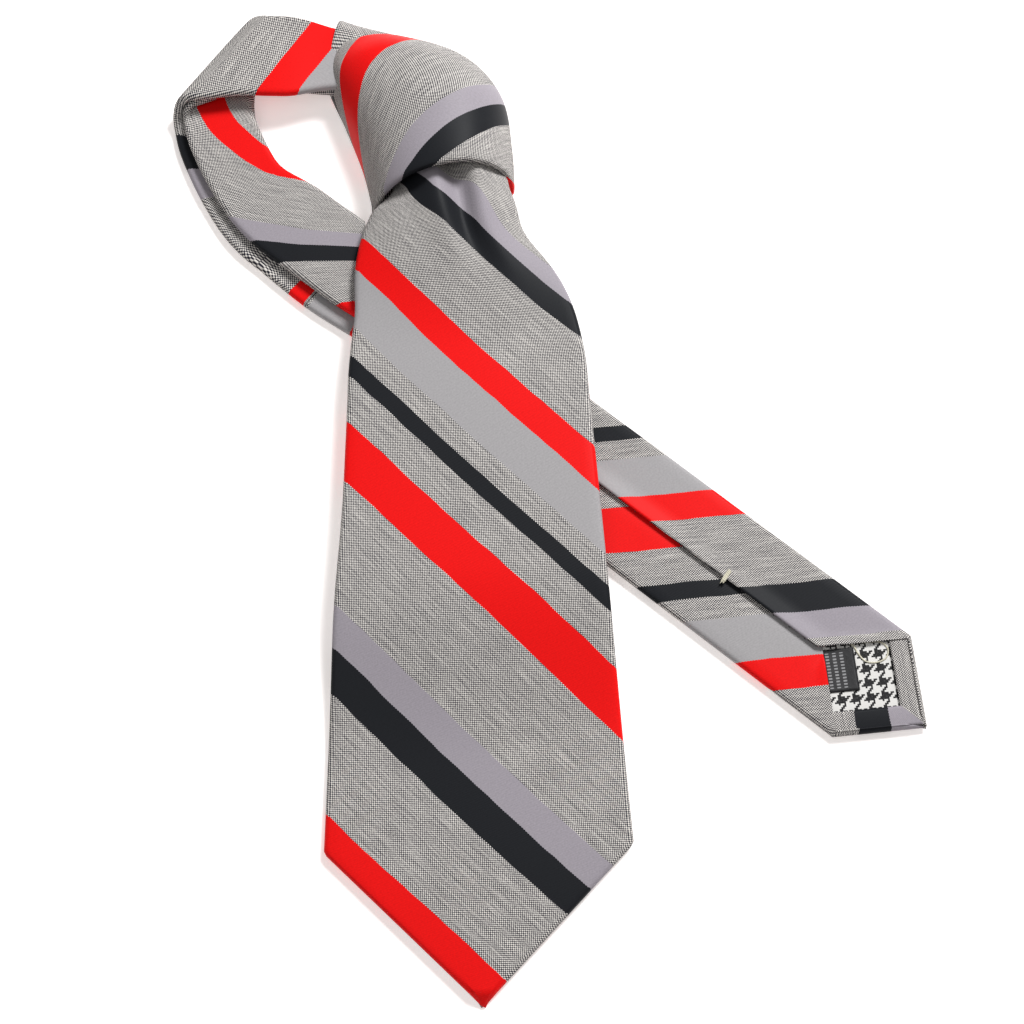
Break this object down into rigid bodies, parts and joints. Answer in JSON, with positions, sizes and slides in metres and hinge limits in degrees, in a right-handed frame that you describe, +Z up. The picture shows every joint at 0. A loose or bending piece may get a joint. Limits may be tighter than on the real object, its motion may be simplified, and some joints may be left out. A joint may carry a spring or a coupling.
{
  "type": "necktie",
  "caption": "Striped necktie tied in a four-in-hand knot and laid flat, with a wide front blade, a folded neck loop and a narrow tail that swings and slides.",
  "frame": {"origin": "middle of the footprint, on the surface that the tie lies on", "axes": "+Z up, the tip of the front blade towards -Y, the knot towards +Y, the tail towards +X"},
  "size_m": [0.2346, 0.3328, 0.028],
  "materials": {
    "striped_cloth": "silk and cotton jacquard, grey basket weave with red, charcoal and silver satin stripes on the bias",
    "interlining": "brushed wool interlining",
    "check_lining": "black and white houndstooth satin lining",
    "label_weave": "black woven satin label, blank",
    "ivory_thread": "twisted silk sewing thread",
    "dark_thread": "twisted sewing thread"
  },
  "bodies": {
    "knot_and_loop": {"neck_upper_outer_leg": "striped_cloth", "neck_upper_inner_leg": "striped_cloth", "neck_lower_outer_leg": "striped_cloth", "neck_lower_inner_leg": "striped_cloth", "neck_turn_outer": "striped_cloth", "neck_turn_inner": "striped_cloth", "neck_end_fold": "striped_cloth", "neck_interlinings": "interlining", "neck_joining_seam": "dark_thread", "knot_front_band": "striped_cloth", "knot_back_band": "striped_cloth", "knot_throat": "striped_cloth", "knot_top_fold": "striped_cloth"},
    "front_blade": {"front_blade_shell": "striped_cloth", "front_blade_interlining": "interlining", "front_blade_tipping": "check_lining", "front_bar_tack": "ivory_thread", "keeper_loop": "striped_cloth", "main_label": "label_weave", "blade_hem_stitching": "ivory_thread"},
    "tail_core": {"tail_in_knot": "striped_cloth"},
    "tail": {"tail_shell": "striped_cloth", "tail_interlining": "interlining", "tail_tipping": "check_lining", "tail_label": "label_weave", "tail_bar_tack": "ivory_thread", "tail_slip_stitching": "ivory_thread", "tail_loose_thread": "ivory_thread", "tail_turn": "striped_cloth", "tail_strap": "striped_cloth", "tail_strap_interlining": "interlining"}
  },
  "joints": [
    {"name": "front_blade_lift", "type": "hinge", "parent": "knot_and_loop", "child": "front_blade", "pos_m": [-0.0207, 0.08565, 0.0108], "axis": [-1, 0, 0], "range_deg": [0, 75]},
    {"name": "tail_draw", "type": "slide", "parent": "knot_and_loop", "child": "tail_core", "axis": [0, -1, 0], "range_m": [0, 0.015]},
    {"name": "tail_swing", "type": "hinge", "parent": "tail_core", "child": "tail", "pos_m": [-0.0237, 0.09565, 0.0048], "axis": [0, 0, 1], "range_deg": [0, 14]}
  ]
}
